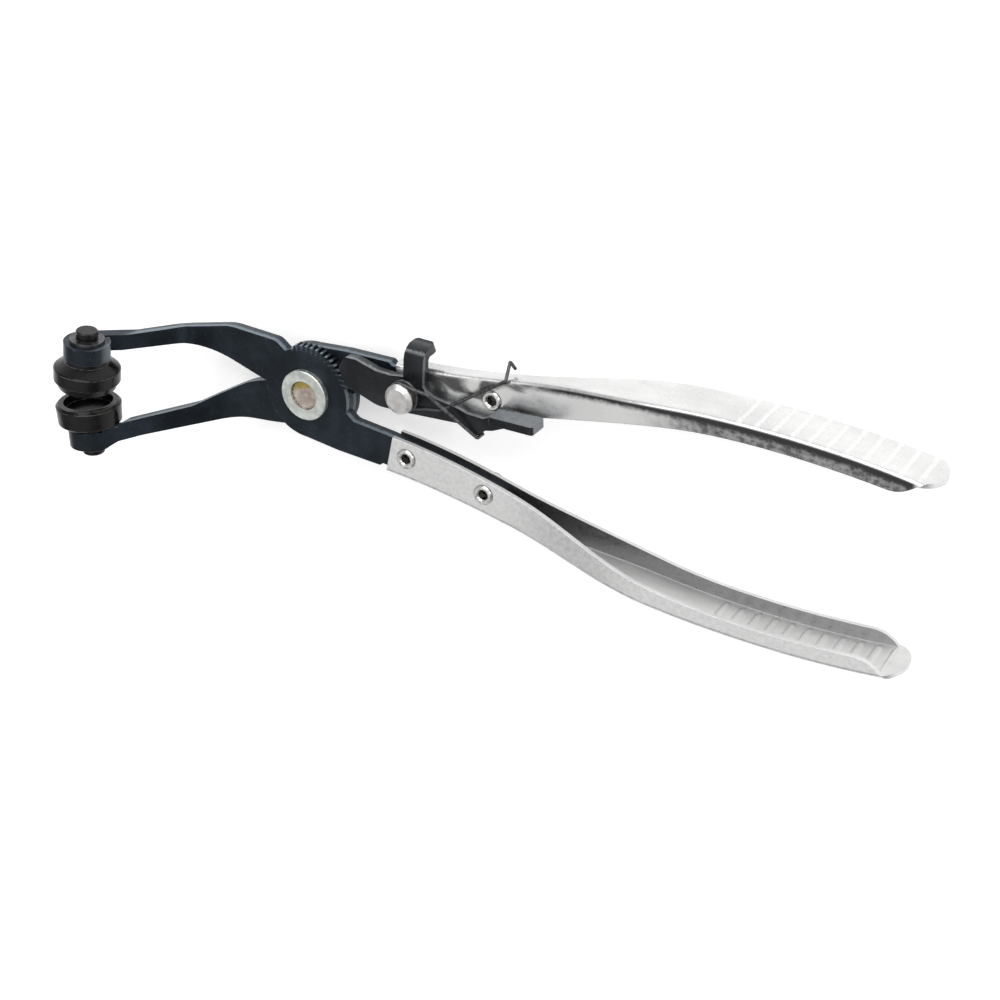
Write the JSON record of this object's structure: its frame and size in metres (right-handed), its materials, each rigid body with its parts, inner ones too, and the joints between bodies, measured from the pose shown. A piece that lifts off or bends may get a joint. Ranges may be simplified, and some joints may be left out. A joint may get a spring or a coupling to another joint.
{
  "type": "hose clamp pliers",
  "caption": "Ratcheting hose clamp pliers with angled jaw arms, swivelling cup pads and sprung pawl lock, shown slightly open.",
  "frame": {"origin": "on the pivot axis, on the outer face of the pivot rivet's rear head", "axes": "+X from the pivot towards the handles, +Y towards the upper jaw and upper handle, +Z along the pivot axis towards the front face"},
  "size_m": [0.2545, 0.0602, 0.0452],
  "materials": {
    "black_oxide_steel": "black oxide, worn at the edges",
    "brown_oxide_steel": "dark brown oxide",
    "nickel_plated_steel": "bright plated",
    "zinc_plated_steel": "zinc plated",
    "spring_steel": "dark drawn wire"
  },
  "bodies": {
    "back_half": {"back_jaw_plate": "black_oxide_steel", "pivot_rivet": "zinc_plated_steel", "pivot_washer": "zinc_plated_steel", "upper_handle": "nickel_plated_steel", "upper_handle_rivet": "zinc_plated_steel", "pawl_pin": "zinc_plated_steel", "pawl_spring": "spring_steel"},
    "front_half": {"front_jaw_plate": "black_oxide_steel", "lower_handle": "nickel_plated_steel", "lower_handle_rivets": "zinc_plated_steel"},
    "pawl": {"ratchet_pawl": "black_oxide_steel"},
    "upper_swivel": {"upper_pad": "brown_oxide_steel", "upper_pad_ring": "spring_steel"},
    "lower_swivel": {"lower_pad": "brown_oxide_steel", "lower_pad_ring": "spring_steel"}
  },
  "joints": [
    {"name": "jaw_pivot", "type": "hinge", "parent": "back_half", "child": "front_half", "pos_m": [0, 0, 0.007], "axis": [0, 0, -1], "range_deg": [-3.5, 45]},
    {"name": "pawl_pivot", "type": "hinge", "parent": "back_half", "child": "pawl", "pos_m": [0.0343, 0.0101, 0.008], "axis": [0, 0, -1], "range_deg": [0, 14], "stiffness_Nm_per_rad": 0.15, "springref_deg": -20.05, "deforming": ["pawl_spring"]},
    {"name": "upper_pad_swivel", "type": "hinge", "parent": "front_half", "child": "upper_swivel", "pos_m": [-0.0621, -0.00602, 0.03055], "axis": [0.0663, 0.9978, 0], "continuous": true},
    {"name": "lower_pad_swivel", "type": "hinge", "parent": "back_half", "child": "lower_swivel", "pos_m": [-0.0621, -0.01077, 0.03055], "axis": [0.0663, -0.9978, 0], "continuous": true}
  ]
}
